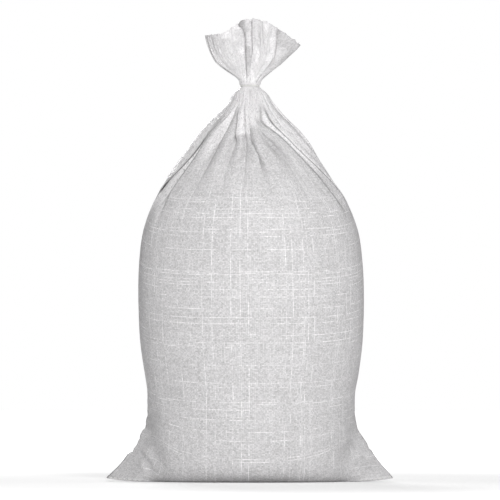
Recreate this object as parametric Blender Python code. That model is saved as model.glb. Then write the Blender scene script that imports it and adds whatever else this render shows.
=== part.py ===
"""A tied sack of rice, standing on its sewn bottom.

The sack is a woven tube, flat when empty. It is sewn shut across the bottom, filled, gathered
under a twine tie, and the mouth of the tube ruffles out above the tie. Metres, +Z up, front
towards -Y, origin on the floor under the middle of the sack.

A turn is an angle about the sack: 0 at the front, 90 at its right side, 180 at the back.
"""

import math

import bmesh
import bpy
import numpy as np
from mathutils import Vector

# Driving dimensions
EAR_SPAN = 0.526  # between the two bottom corners, which stick out as ears
EAR_LIFT = 0.006  # how far the tip of an ear curls up off the floor
EAR_CURL = 9  # the higher, the nearer to its tip the ear begins to curl up
EAR_START = 0.46  # of the way from the middle of the seam to a corner, where the ear begins
EAR_THICKNESS = 0.10  # how quickly the ear swells up from its tip
EAR_TOP_DEPTH = 0.80  # depth of the ear where it joins the body, of the body's
EAR_BEND = (0.85, 0.25)  # how much of the seam's way forward the ear follows, low and high
LEFT_EAR = (0.018, 0.064)  # heights that steer the curve of the ear's upper edge
RIGHT_EAR = (0.020, 0.074)
EAR_FULLNESS = 0.985  # 1 would take the upper edge straight up from the tip at first
HEM_THICKNESS = 0.0018  # the folded and sewn bottom edge
SEAM_FORWARD = 0.045  # the seam crosses the bottom this far in front of the middle
BASE_FAN = 0.65  # how far the cloth lines of the base fan out to meet the seam
BASE_PULL = (1.02, 1.07, -0.010)  # roundness of the base's edge: in x, in y, downwards
BASE_PRESS = 0.0015  # how far the weight presses the base flat
WAIST_HEIGHT = 0.140  # above this the sides of the sack are free of the ears
SHOULDER_START = 0.44  # the pleats begin here
TIE_HEIGHT = 0.731  # middle of the twine
RUFFLE_WALL = 0.0024  # thickness given to the cloth round the mouth
POCKET_FOOT = ((0.72, 0.0034), (0.36, 0.0077))  # size and drop of the rings that close its pocket

# Outline of the filled body and the shoulders: height, half width, half depth, shift to the right
OUTLINE = (
    (0.140, 0.1915, 0.1510, 0.0030),
    (0.160, 0.1920, 0.1510, 0.0030),
    (0.200, 0.1985, 0.1500, 0.0030),
    (0.261, 0.2065, 0.1460, 0.0025),
    (0.335, 0.2090, 0.1420, 0.0020),
    (0.409, 0.2070, 0.1370, 0.0010),
    (0.468, 0.1980, 0.1300, 0.0005),
    (0.512, 0.1810, 0.1210, 0.0),
    (0.557, 0.1540, 0.1060, 0.0),
    (0.601, 0.1250, 0.0880, 0.0),
    (0.646, 0.0910, 0.0670, 0.0),
    (0.679, 0.0590, 0.0490, 0.0),
    (0.701, 0.0405, 0.0350, 0.0),
    (0.7155, 0.0325, 0.0280, 0.0005),
    (0.7225, 0.0255, 0.0215, 0.0),
    (0.7265, 0.0190, 0.0172, 0.0),
    (0.7355, 0.0186, 0.0168, 0.0),
)
SECTION_POWER = 2.15  # 2 would be an ellipse, more is squarer

# Valley lines of the pleats over the front: turn at the tie, turn where the pleat fades out
FRONT_VALLEYS = (
    (-52.0, -90.0),
    (-42.0, -62.0),
    (-34.0, -38.0),
    (-25.0, -13.0),
    (-12.0, 1.0),
    (0.0, 15.0),
    (8.0, 38.0),
    (14.0, 74.0),
    (26.0, 90.0),
    (98.0, 116.0),
)
BACK_PLEATS = 8  # between the last front valley and the left side pleat
BACK_UNEVENNESS = 3.5  # degrees by which the back valleys wander
LEFT_SIDE_VALLEY = (244.0, 248.0)
PLEAT_TURNS = (0.50, 0.705)  # heights between which a valley turns from the body to the tie
# Depth of the valleys: height, depth
PLEAT_DEPTH = (
    (0.430, 0.0),
    (0.500, 0.0020),
    (0.557, 0.0075),
    (0.601, 0.0115),
    (0.646, 0.0125),
    (0.690, 0.0090),
    (0.712, 0.0050),
    (0.7265, 0.0010),
    (0.7355, 0.0010),
)
PLEAT_LEAN = 4.0  # degrees by which a crest leans over the next valley
LEAN_FULL_DEPTH = 0.008  # depth of a pleat from which it leans in full
CREST_ROUNDNESS = 0.75  # 1 is a sine wave, less is a sharper valley and a fuller crest

# Ruffle above the tie: cloth length from the tie, lean of its left edge, of its right edge
RUFFLE_LEAN = (
    (0.000, 8.0, 20.0),
    (0.010, 20.0, 40.0),
    (0.018, 50.0, 49.0),
    (0.050, 52.0, 49.0),
    (0.066, 34.0, 47.0),
    (0.085, 21.0, 47.0),
    (0.122, 6.0, 38.0),
)
# Cloth length from the tie to the mouth: side from -1 at the left edge to 1 at the right, length
RUFFLE_LENGTH = (
    (-1.00, 0.115),
    (-0.80, 0.107),
    (-0.55, 0.103),
    (-0.35, 0.107),
    (-0.10, 0.117),
    (0.15, 0.117),
    (0.50, 0.112),
    (0.80, 0.108),
    (1.00, 0.106),
)
MOUTH_HALF_DEPTH = 0.040
LOBES_OPEN_BY = 1.3  # the lobes reach their full depth at 1 / this of the length
DEEPEST_FOLD = 0.8  # of the way in to the middle of the ruffle
# Lobes of the ruffle: valley number it starts at, turn there, depth there, fullness of the lobe
RUFFLE_LOBES = (
    (0, -74.0, 0.013, 1.0),
    (4, -9.0, 0.027, 0.1),
    (5, 5.0, 0.027, 1.0),
    (8, 37.0, 0.024, 0.7),
    (9, 104.0, 0.012, 1.0),
    (12, 146.0, 0.024, 1.0),
    (15, 200.0, 0.022, 1.0),
    (17, 257.0, 0.014, 1.0),
)

# Twine
TWINE_RADIUS = 0.00125
TWINE_TURNS = 2
TWINE_STEPS = 44
TWINE_CLEARANCE = 0.0006
KNOT_RADIUS = 0.0042
KNOT_OUT = 0.0024  # of the knot's middle from the middle of the twine
TWINE_TAIL = 0.020  # length of a cut end, from the middle of the knot
TAIL_SPREAD = 0.55  # sideways and down, for each unit outwards
TAIL_DROOP = 0.40

# Mesh steps
BOTTOM_ROWS = 13
BODY_ROWS = 8
SHOULDER_ROWS = 16
RUFFLE_ROWS = 11
LEAN_STEPS = 4  # in a row of the ruffle
POCKET_ROWS = 5  # of the ruffle, down which its mouth is open
COLUMN_STEP = 4.6  # degrees between columns, about
LEAST_COLUMNS = 4  # in a pleat


def smooth_table(position, table):
    """A smooth curve through the table's rows, whose first column is the position."""
    knots = np.array(table, float)
    place, values = knots[:, 0], knots[:, 1:]
    slopes = np.gradient(values, place, axis=0)
    position = np.clip(np.asarray(position, float), place[0], place[-1])
    low = np.clip(np.searchsorted(place, position, side="right") - 1, 0, len(place) - 2)
    step = place[low + 1] - place[low]
    t = ((position - place[low]) / step)[..., None]
    step = step[..., None]
    return (
        values[low] * (1 + 2 * t) * (1 - t) ** 2
        + slopes[low] * step * t * (1 - t) ** 2
        + values[low + 1] * (3 - 2 * t) * t**2
        + slopes[low + 1] * step * (t - 1) * t**2
    )


def ease(t):
    t = np.clip(t, 0.0, 1.0)
    return t * t * (3 - 2 * t)


def valley_lines():
    """Turn of each valley at the tie and in the body, all the way round from the front left."""
    first_back, last_back = np.array(FRONT_VALLEYS[-1]), np.array(LEFT_SIDE_VALLEY)
    back = []
    for number in range(1, BACK_PLEATS + 1):
        share = number / BACK_PLEATS
        wander = BACK_UNEVENNESS * math.sin(2.4 * number) * (share < 1)
        back.append(first_back + (last_back - first_back) * share + wander)
    closing = np.array(FRONT_VALLEYS[0]) + 360.0
    return np.vstack([FRONT_VALLEYS, back, closing])


def ruffle_turns(valleys):
    """Turn, depth and fullness of the ruffle at each valley line, and the lobe of each pleat."""
    starts = [lobe[0] for lobe in RUFFLE_LOBES] + [len(valleys) - 1]
    turns = [lobe[1] for lobe in RUFFLE_LOBES] + [RUFFLE_LOBES[0][1] + 360.0]
    return np.array(starts, float), np.array(turns, float)


def columns():
    """The lines that run up the sack like its warp tapes, as a dict of arrays, one value each."""
    valleys = valley_lines()
    starts, lobe_turns = ruffle_turns(valleys)
    found = []
    for pleat in range(len(valleys) - 1):
        width = valleys[pleat + 1][1] - valleys[pleat][1]
        count = max(LEAST_COLUMNS, 2 * round(width / COLUMN_STEP / 2))
        for step in range(count):
            phase = step / count
            tie_turn, body_turn = valleys[pleat] * (1 - phase) + valleys[pleat + 1] * phase
            line = pleat + phase
            lobe = int(np.searchsorted(starts, line, side="right") - 1)
            lobe_phase = (line - starts[lobe]) / (starts[lobe + 1] - starts[lobe])
            mouth_turn = np.interp(line, starts, lobe_turns)
            found.append((pleat, phase, tie_turn, body_turn, lobe, lobe_phase, mouth_turn))
    names = ("pleat", "phase", "tie_turn", "body_turn", "lobe", "lobe_phase", "mouth_turn")
    return dict(zip(names, np.array(found).T))


def superellipse(turn, half_width, half_depth):
    """Point of a section at a turn in degrees, as x and y."""
    sine, cosine = np.sin(np.radians(turn)), np.cos(np.radians(turn))
    power = 2 / SECTION_POWER
    x = half_width * np.sign(sine) * np.abs(sine) ** power
    y = -half_depth * np.sign(cosine) * np.abs(cosine) ** power
    return x, y


def seam_share(turn):
    """Where a column meets the bottom seam: -1 at the left ear, 1 at the right one.

    The tube is flat there, so the share follows the cloth's length round the body.
    """
    fine = np.linspace(-90.0, 90.0, 721)
    x, y = superellipse(fine, *smooth_table(WAIST_HEIGHT, OUTLINE)[:2])
    length = np.concatenate([[0.0], np.cumsum(np.hypot(np.diff(x), np.diff(y)))])
    front = (turn + 90.0) % 360.0 <= 180.0
    folded = np.where(front, (turn + 90.0) % 360.0, (270.0 - turn) % 360.0) - 90.0
    return np.interp(folded, fine, length / length[-1]) * 2 - 1


def scallop(phase):
    return np.abs(np.sin(np.pi * phase)) ** CREST_ROUNDNESS


def body_row(height, lines):
    """One ring of points round the body or the shoulders."""
    to_tie = np.clip((height - PLEAT_TURNS[0]) / (PLEAT_TURNS[1] - PLEAT_TURNS[0]), 0, 1)
    to_tie = (to_tie + ease(to_tie)) / 2
    turn = lines["body_turn"] * (1 - to_tie) + lines["tie_turn"] * to_tie
    depth = smooth_table(height, PLEAT_DEPTH)[0]
    half_width, half_depth, shift = smooth_table(height, OUTLINE)
    lean = PLEAT_LEAN * min(1.0, depth / LEAN_FULL_DEPTH) * np.sin(np.pi * lines["phase"]) ** 2
    x, y = superellipse(turn + lean, half_width, half_depth)
    inward = 1 - depth * (1 - scallop(lines["phase"])) / np.hypot(x, y)
    return np.stack([x * inward + shift, y * inward, np.full_like(x, height)], axis=1)


def bottom_rows(lines):
    """Rings from the seam on the floor out and up to the waist, with the two ears."""
    waist = body_row(WAIST_HEIGHT, lines)
    share = seam_share(lines["body_turn"])
    side = np.sign(share)
    front = np.where(waist[:, 1] < -1e-6, -1.0, np.where(waist[:, 1] > 1e-6, 1.0, 0.0))
    seam = np.stack(
        [
            share * EAR_SPAN / 2,
            front * HEM_THICKNESS / 2 - SEAM_FORWARD,
            EAR_LIFT * np.abs(share) ** EAR_CURL,
        ],
        axis=1,
    )
    ear = ease((np.abs(share) - EAR_START) / (1 - EAR_START))[:, None]
    fan = BASE_FAN * seam[:, 0] + (1 - BASE_FAN) * waist[:, 0]
    flat_1 = np.stack([fan, waist[:, 1], 0 * side], axis=1)
    flat_2 = waist * [BASE_PULL[0], BASE_PULL[1], 0.0] + [0.0, 0.0, BASE_PULL[2]]
    low, high = np.where(side[:, None] < 0, LEFT_EAR, RIGHT_EAR).T
    ear_y = EAR_THICKNESS * waist[:, 1] - EAR_BEND[0] * SEAM_FORWARD
    ear_1 = np.stack([EAR_FULLNESS * seam[:, 0], ear_y, low], axis=1)
    ear_y = EAR_TOP_DEPTH * waist[:, 1] - EAR_BEND[1] * SEAM_FORWARD
    ear_2 = np.stack([waist[:, 0], ear_y, high], axis=1)
    near = flat_1 * (1 - ear) + ear_1 * ear
    far = flat_2 * (1 - ear) + ear_2 * ear
    rows = []
    for s in np.linspace(0.0, 1.0, BOTTOM_ROWS, endpoint=False):
        ring = (
            seam * (1 - s) ** 3
            + near * 3 * s * (1 - s) ** 2
            + far * 3 * s**2 * (1 - s)
            + waist * s**3
        )
        press = BASE_PRESS * (1 - s) * (1 - ear[:, 0])
        ring[:, 2] = np.maximum(ring[:, 2] - press, 0.0)
        rows.append(ring)
    return rows


def ruffle_rows(lines):
    """Rings of the ruffle, from just above the tie up to its mouth."""
    half_width, half_depth = OUTLINE[-1][1:3]
    side = np.sin(np.radians(lines["mouth_turn"]))
    length = smooth_table(side, RUFFLE_LENGTH)[:, 0]
    start, _ = superellipse(lines["tie_turn"], half_width, half_depth)
    x, z = np.array(start), np.full_like(start, OUTLINE[-1][0])
    lobe = lines["lobe"].astype(int)
    depths = np.array([entry[2] for entry in RUFFLE_LOBES] + [RUFFLE_LOBES[0][2]])
    fullness = np.array([entry[3] for entry in RUFFLE_LOBES])[lobe]
    phase = lines["lobe_phase"]
    lobe_depth = depths[lobe] * (1 - phase) + depths[lobe + 1] * phase
    lobe_depth = lobe_depth * (1 - fullness * scallop(phase))
    rows = []
    steps = RUFFLE_ROWS * LEAN_STEPS
    for step in range(1, steps + 1):
        share = step / steps
        left, right = smooth_table((share - 0.5 / steps) * length, RUFFLE_LEAN).T
        lean = np.radians(np.where(side < 0, left, right) * side)
        x = x + np.sin(lean) * length / steps
        z = z + np.cos(lean) * length / steps
        if step % LEAN_STEPS:
            continue
        opened = ease(share * LOBES_OPEN_BY)
        turn = lines["tie_turn"] * (1 - opened) + lines["mouth_turn"] * opened
        cosine = np.cos(np.radians(turn))
        y = -cosine * (half_depth + (MOUTH_HALF_DEPTH - half_depth) * share)
        fold = np.minimum(lobe_depth * opened, DEEPEST_FOLD * np.abs(y))
        y = y + np.sign(cosine) * fold * np.sqrt(np.abs(cosine))
        rows.append(np.stack([x, y, z], axis=1))
    return rows


def outer_rings():
    """Rings from the bottom seam up to the edge of the mouth."""
    lines = columns()
    rings = bottom_rows(lines)
    neck_foot, neck_top = OUTLINE[-2][0], OUTLINE[-1][0]
    for height in np.linspace(WAIST_HEIGHT, SHOULDER_START, BODY_ROWS, endpoint=False):
        rings.append(body_row(height, lines))
    for height in np.linspace(SHOULDER_START, neck_foot, SHOULDER_ROWS):
        rings.append(body_row(height, lines))
    rings.append(body_row(neck_top, lines))
    return np.array(rings + ruffle_rows(lines))


def grid_normals(grid):
    """Outward normal at each point of a grid of rings."""
    around = np.roll(grid, -1, axis=1) - np.roll(grid, 1, axis=1)
    up = np.gradient(grid, axis=0)
    normal = np.cross(around, up)
    return normal / np.maximum(np.linalg.norm(normal, axis=2, keepdims=True), 1e-9)


def pocket_rings(outer):
    """Rings of the inner face of the ruffle, from the mouth down to the foot of its pocket."""
    inner = outer - RUFFLE_WALL * grid_normals(outer)
    rings = [inner[-1 - row] for row in range(POCKET_ROWS)]
    lowest = rings[-1]
    middle = lowest.mean(axis=0)
    for size, drop in POCKET_FOOT:
        rings.append(middle + (lowest - middle) * size - [0.0, 0.0, drop])
    return np.array(rings)


def close_rings(mesh, rings):
    """Adds rings of vertices to a bmesh and joins each to the next."""
    made = [[mesh.verts.new(point) for point in ring] for ring in rings]
    for low, high in zip(made, made[1:]):
        for number in range(len(low)):
            after = (number + 1) % len(low)
            mesh.faces.new((low[number], low[after], high[after], high[number]))
    return made


def finish_object(name, mesh, material):
    """Turns a bmesh into a smooth-shaded object."""
    bmesh.ops.recalc_face_normals(mesh, faces=mesh.faces)
    data = bpy.data.meshes.new(name)
    mesh.to_mesh(data)
    mesh.free()
    data.shade_smooth()
    data.materials.append(material)
    made = bpy.data.objects.new(name, data)
    bpy.context.scene.collection.objects.link(made)
    return made


def plain_material(name, color, roughness):
    material = bpy.data.materials.new(name)
    material.use_nodes = True
    shader = material.node_tree.nodes["Principled BSDF"]
    shader.inputs["Base Color"].default_value = (*color, 1.0)
    shader.inputs["Roughness"].default_value = roughness
    shader.inputs["Metallic"].default_value = 0.0
    return material


def make_sack(material):
    """The cloth and what fills it, as one solid."""
    mesh = bmesh.new()
    outer = outer_rings()
    made = close_rings(mesh, np.concatenate([outer, pocket_rings(outer)]))
    mesh.faces.new(made[0][::-1])
    mesh.faces.new(made[-1])
    bmesh.ops.triangulate(mesh, faces=[face for face in mesh.faces if len(face.verts) > 4])
    return finish_object("sack", mesh, material)


def twine_profile():
    """Outline of the twine's turns lying on each other, as (out from the neck, up) offsets."""
    pitch = 2 * TWINE_RADIUS
    lowest = -pitch * (TWINE_TURNS - 1) / 2
    outline = []
    for number in range(TWINE_TURNS):
        first, last = -50, 50
        if number == 0:
            first = -90
        if number == TWINE_TURNS - 1:
            last = 90
        for angle in np.radians(np.linspace(first, last, 5)):
            up = lowest + pitch * number + TWINE_RADIUS * math.sin(angle)
            outline.append((TWINE_RADIUS * math.cos(angle), up))
    return outline + [(-out, up) for out, up in outline[-2:0:-1]]


def make_tie(material):
    """Twine wound round the neck, with its knot and two cut ends at the back."""
    half_width, half_depth = OUTLINE[-2][1:3]
    standoff = TWINE_RADIUS + TWINE_CLEARANCE
    mesh = bmesh.new()
    profile = twine_profile()
    rings = []
    for turn in np.arange(0.0, 360.0, 360.0 / TWINE_STEPS):
        x, y = superellipse(turn, half_width + standoff, half_depth + standoff)
        away = np.array([x, y]) / math.hypot(x, y)
        rings.append([(x + away[0] * out, y + away[1] * out, TIE_HEIGHT + up) for out, up in profile])
    made = close_rings(mesh, rings)
    for number in range(len(profile)):
        after = (number + 1) % len(profile)
        mesh.faces.new((made[-1][number], made[-1][after], made[0][after], made[0][number]))
    tie = finish_object("neck_tie", mesh, material)

    knot = Vector((0.0, half_depth + standoff + KNOT_OUT, TIE_HEIGHT))
    lumps = [helper_ball("knot", knot, KNOT_RADIUS)]
    for side, name in ((-1, "left_tail"), (1, "right_tail")):
        away = Vector((side * TAIL_SPREAD, 1.0, -TAIL_DROOP)).normalized()
        lumps.append(helper_rod(name, knot, knot + away * TWINE_TAIL, TWINE_RADIUS))
    for lump in lumps:
        join = tie.modifiers.new(lump.name, "BOOLEAN")
        join.operation = "UNION"
        join.object = lump
    return tie


def helper_object(name, mesh):
    """An object that a Boolean reads, left out of the part itself."""
    data = bpy.data.meshes.new(name)
    mesh.to_mesh(data)
    mesh.free()
    helper = bpy.data.objects.new(name, data)
    helper.hide_render = True
    helper.display_type = "WIRE"
    bpy.context.scene.collection.objects.link(helper)
    return helper


def helper_ball(name, centre, radius):
    mesh = bmesh.new()
    bmesh.ops.create_icosphere(mesh, subdivisions=2, radius=radius)
    bmesh.ops.scale(mesh, vec=(1.15, 0.85, 0.95), verts=mesh.verts)
    bmesh.ops.translate(mesh, vec=centre, verts=mesh.verts)
    return helper_object(name, mesh)


def helper_rod(name, start, end, radius):
    start, end = Vector(start), Vector(end)
    mesh = bmesh.new()
    bmesh.ops.create_cone(
        mesh, segments=8, radius1=radius, radius2=radius, depth=(end - start).length, cap_ends=True
    )
    turn = (end - start).to_track_quat("Z", "Y").to_matrix()
    bmesh.ops.rotate(mesh, cent=(0, 0, 0), matrix=turn, verts=mesh.verts)
    bmesh.ops.translate(mesh, vec=(start + end) / 2, verts=mesh.verts)
    return helper_object(name, mesh)


def main():
    for old in list(bpy.data.objects):
        bpy.data.objects.remove(old)
    make_sack(plain_material("woven_cloth", (0.78, 0.78, 0.78), 0.55))
    make_tie(plain_material("twine", (0.85, 0.85, 0.84), 0.70))


main()
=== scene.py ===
"""Looks of a tied sack of rice: woven cloth, twine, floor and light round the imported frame.

Metres, +Z up, front towards -Y. A turn is an angle about the sack: 0 at the front, 90 at its right
side, 180 at the back. The cloth is one grid of points: rows run round the sack, from the bottom seam
up to the mouth, and columns run up it.
"""

import math

import bpy
import numpy as np
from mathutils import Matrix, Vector


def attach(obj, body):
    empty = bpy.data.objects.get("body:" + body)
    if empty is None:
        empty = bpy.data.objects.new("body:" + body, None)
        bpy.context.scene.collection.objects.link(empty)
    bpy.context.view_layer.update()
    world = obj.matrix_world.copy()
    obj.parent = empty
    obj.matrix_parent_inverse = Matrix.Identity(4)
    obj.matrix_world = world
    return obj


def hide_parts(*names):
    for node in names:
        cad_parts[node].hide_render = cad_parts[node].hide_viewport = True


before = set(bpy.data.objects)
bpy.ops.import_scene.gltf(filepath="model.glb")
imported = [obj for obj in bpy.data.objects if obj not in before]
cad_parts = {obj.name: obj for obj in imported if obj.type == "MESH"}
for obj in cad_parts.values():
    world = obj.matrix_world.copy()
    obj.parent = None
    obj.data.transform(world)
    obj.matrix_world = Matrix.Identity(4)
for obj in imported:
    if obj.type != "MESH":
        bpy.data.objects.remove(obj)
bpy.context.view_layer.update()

# Bottom: the sewn seam, the ear at each end of it, and the flat base
EAR_SPAN = 0.526
EAR_LIFT = 0.006
EAR_CURL = 9  # power that keeps the lift to the ends of the seam
EAR_START = 0.46  # of the way from the middle to an ear
EAR_THICKNESS = 0.22  # of the body's depth
EAR_TOP_DEPTH = 0.80
EAR_BEND = (0.85, 0.25)  # how far an ear follows the seam forward, low down and high up
LEFT_EAR = (0.018, 0.064)  # heights of the two points that guide the ear's curve
RIGHT_EAR = (0.020, 0.074)
EAR_FULLNESS = 0.985
HEM_THICKNESS = 0.0018
SEAM_FORWARD = 0.045
BASE_FAN = 0.65
BASE_PULL = (1.02, 1.07, -0.010)
BASE_PRESS = 0.0015
WAIST_HEIGHT = 0.140
TIE_HEIGHT = 0.731

# Height, half width, half depth and shift to the right: the solid's outline, but up to 2.5 mm slimmer
# and 1.5 mm further right below the tie
OUTLINE = (
    (0.140, 0.1915, 0.1510, 0.0030),
    (0.160, 0.1920, 0.1510, 0.0030),
    (0.200, 0.1985, 0.1500, 0.0030),
    (0.261, 0.2065, 0.1460, 0.0025),
    (0.335, 0.2090, 0.1420, 0.0020),
    (0.409, 0.2070, 0.1370, 0.0010),
    (0.468, 0.1980, 0.1300, 0.0005),
    (0.512, 0.1810, 0.1210, 0.0),
    (0.557, 0.1540, 0.1060, 0.0),
    (0.601, 0.1250, 0.0880, 0.0),
    (0.646, 0.0910, 0.0670, 0.0),
    (0.679, 0.0580, 0.0485, 0.0),
    (0.701, 0.0388, 0.0340, 0.0015),
    (0.7155, 0.0302, 0.0260, 0.0010),
    (0.7225, 0.0240, 0.0205, 0.0010),
    (0.7265, 0.0190, 0.0172, 0.0),
    (0.7355, 0.0186, 0.0168, 0.0),
)
SECTION_POWER = 2.15
CLOTH_GIRTH = 1.12

# Folds of the front from the tie down over the shoulders, from left to right: turns of each one at
# these heights
FOLD_HEIGHTS = (0.500, 0.551, 0.596, 0.629, 0.660, 0.688, 0.709, 0.731)
FRONT_TURNS = (
    (-90, -75, -58.5, -53.5, -50, -47, -50, -56),
    (-60, -54, -48, -46, -41, -40, -43, -48),
    (-38, -36, -32, -29, -27, -30, -34, -39),
    (-15, -15, -15, -14, -16, -22, -25, -30),
    (-4, -4, -4, -3, -6, -13, -18, -20),
    (13, 10, 5.5, 1, -2, -3, -3, -5),
    (35, 34, 26, 15, 7, 8, 9, 8),
    (66, 52, 42, 32, 15, 17, 19, 20),
    (80, 66, 50.5, 38, 25, 27, 30, 33),
    (96, 82, 63, 51, 43, 45, 47, 50),
)
# For the same folds: which panel lies on top and how high (below 0 the left one, above 0 the right
# one), share of the spare cloth, height of its foot and over how far it deepens there, height from
# which it runs out towards the neck, depth, width and darkness of the shade beside it, and how far up
# the rice stands behind the panel to its right and how softly it ends there
FRONT_FOLDS = (
    (-0.4, 1.4, 0.51, 0.06, 0.665, 0.15, 0.005, 1.4, 0.500, 0.060),
    (1.1, 1.3, 0.47, 0.10, 0.710, 0.80, 0.007, 1.1, 0.630, 0.120),
    (-0.35, 0.3, 0.50, 0.10, 0.670, 0.80, 0.004, 0.35, 0.683, 0.020),
    (1.0, 0.8, 0.612, 0.050, 0.700, 0.60, 0.003, 1.0, 0.636, 0.005),
    (-0.8, 0.7, 0.630, 0.03, 0.680, 0.60, 0.003, 0.8, 0.636, 0.005),
    (-0.8, 0.5, 0.53, 0.08, 0.640, 0.40, 0.003, 0.8, 0.650, 0.020),
    (0.0, 0.1, 0.50, 0.10, 0.630, 0.60, 0.006, 0.0, 0.668, 0.020),
    (-1.15, 1.4, 0.46, 0.10, 0.675, 0.60, 0.006, 1.15, 0.590, 0.100),
    (-1.2, 1.5, 0.46, 0.10, 0.670, 0.60, 0.006, 1.2, 0.500, 0.080),
    (-0.2, 0.3, 0.47, 0.10, 0.600, 0.40, 0.005, 0.2, 0.500, 0.080),
)
RUN_OUT = 0.03  # height over which a fold runs out towards the neck
LEFT_BY_RUN_OUT = 0.12  # of a fold's depth, which stays up to the tie
FOLD_WANDER = 1.2  # degrees, from side to side down a fold
WANDER_RATE = (41.0, 2.3)  # of it per metre of height, and from fold to fold
WANDER_FROM = (0.50, 0.05)  # height where it begins, and over how far
WANDER_END = 0.05  # below the tie
UNDERCUT = 0.7  # how much more the lower layer of a fold dips than the upper one

# Folds of the back. A row of three is a middle value, its variation and the rate of that from fold
# to fold
BACK_FOLDS = 8
LEFT_SIDE_FOLD = (248.0, 244.0)  # turns of the last one on the body and at the tie
BACK_WANDER = (0.0, 3.5, 2.4)
BACK_TOP_RATE = 1.7  # of the change of the panel on top
BACK_SPARE = (1.0, 0.4, 3.1)
BACK_FOOT = (0.48, 0.03, 4.3)
BACK_OPENING = 0.10
BACK_HEAD = (0.70, 0.02, 3.7)
BACK_DEPTH = (1.0, 0.3, 5.7)
BACK_SHADED = 0.006
BACK_DARKNESS = 1.0
BACK_FILL_HEIGHT = (0.60, 0.04, 2.9)
BACK_FILL_SOFTNESS = 0.04

# Depth of the valleys between the panels at these heights
PLEAT_DEPTH = (
    (0.430, 0.0),
    (0.500, 0.0020),
    (0.557, 0.0060),
    (0.601, 0.0100),
    (0.646, 0.0120),
    (0.690, 0.0075),
    (0.712, 0.0045),
    (0.7265, 0.0020),
    (0.7355, 0.0015),
)
CREST_ROUNDNESS = 0.75
CREASE = 0.13  # of a panel's columns on each side, which lie folded under
MOST_HIDDEN = 0.40  # of a panel's width, folded under at each side
FULL_FOLD = 0.006  # hidden cloth from which a fold is crisp
FOLD_LIFT = 0.0020  # height of the upper layer over the middle of a fold
THIN_NECK = 0.04  # half depth below which it lifts less
SHADED_SHARE = 0.8  # of a panel's width, the most that the shade takes
RIM_WIDTH = 0.0045  # of the painted shade along the edge of the darkest folds
RIM_FROM = 1.0  # darkness from which a fold's edge gets that painted shade too
RIM_FULL = 1.3

# Ruffle: lean of its left and its right edge at distances up from the tie, and its length from the
# tie to the mouth at places from left (-1) to right (1)
RUFFLE_LEAN = (
    (0.000, 14.0, 30.0),
    (0.008, 34.0, 46.0),
    (0.016, 54.0, 53.0),
    (0.030, 57.0, 54.0),
    (0.050, 50.0, 50.0),
    (0.066, 36.0, 46.0),
    (0.085, 22.0, 46.0),
    (0.122, 6.0, 40.0),
)
RUFFLE_LENGTH = (
    (-1.00, 0.115),
    (-0.80, 0.107),
    (-0.55, 0.1005),
    (-0.35, 0.1045),
    (-0.10, 0.117),
    (0.15, 0.117),
    (0.50, 0.1080),
    (0.80, 0.1055),
    (1.00, 0.106),
)
MOUTH_HALF_DEPTH = 0.040
LOBES_OPEN_BY = 1.3
DEEPEST_FOLD = 0.8  # of the ruffle's half depth

# Lobes of the ruffle: first fold, its turn half way up and at the mouth, its depth there, how far the
# lobe stands out of it, which lobe lies on top, and shade
RUFFLE_LOBES = (
    (0, -80.0, -80.0, 0.013, 1.0, 1, 0.10),
    (4, -4.0, -4.0, 0.027, 0.1, -1, 0.18),
    (5, 9.0, 5.0, 0.018, 1.0, 0.15, 0.03),
    (8, 44.0, 27.0, 0.024, 0.7, -1, 0.42),
    (9, 104.0, 104.0, 0.012, 1.0, -1, 0.15),
    (12, 146.0, 146.0, 0.024, 1.0, 1, 0.0),
    (15, 200.0, 200.0, 0.022, 1.0, -1, 0.12),
    (17, 257.0, 257.0, 0.014, 1.0, 1, 0.20),
)
LOBE_LIFT = 0.0035
LOBE_LIFT_BY = 0.3  # of the ruffle's length, and so are the next two
PLEATS_TO_LOBES = (0.0, 0.25)
TO_MOUTH_TURN = (0.45, 0.5)
PLEAT_CRISPNESS = 0.4  # of the shoulders' folds where they run into the ruffle
CURLED_FOLD = 4  # the fold whose left lobe curls open at the mouth
CURL = 10.0
CURL_START = 0.74
CURL_SHADE = 0.65
CURL_OPEN = 0.6  # of the panel beside the curled lobe, the part that lies in the open mouth
CURL_OPEN_SOFTNESS = 0.2
RUFFLE_SHADED = 0.002
RUFFLE_EDGE_SHADE = 0.65
NECK_GIRTH = 0.112
MOUTH_GIRTH = 0.42
MOUTH_RAGS = 0.0016
RAG_PATTERNS = ((1.0, 61, 11), (0.6, 149, 12))  # strength, number round the mouth, and seed
RAG_POWER = 6  # that keeps the rags to the mouth
CLOTH_THICKNESS = 0.0008
POCKET_SHARE = 0.62  # of the ruffle's length, down which the mouth is open
POCKET_FLOOR = ((0.8, 0.006), (0.5, 0.010), (0.2, 0.012))  # size and drop of its closing rings
POCKET_SHADE = 0.3

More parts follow.
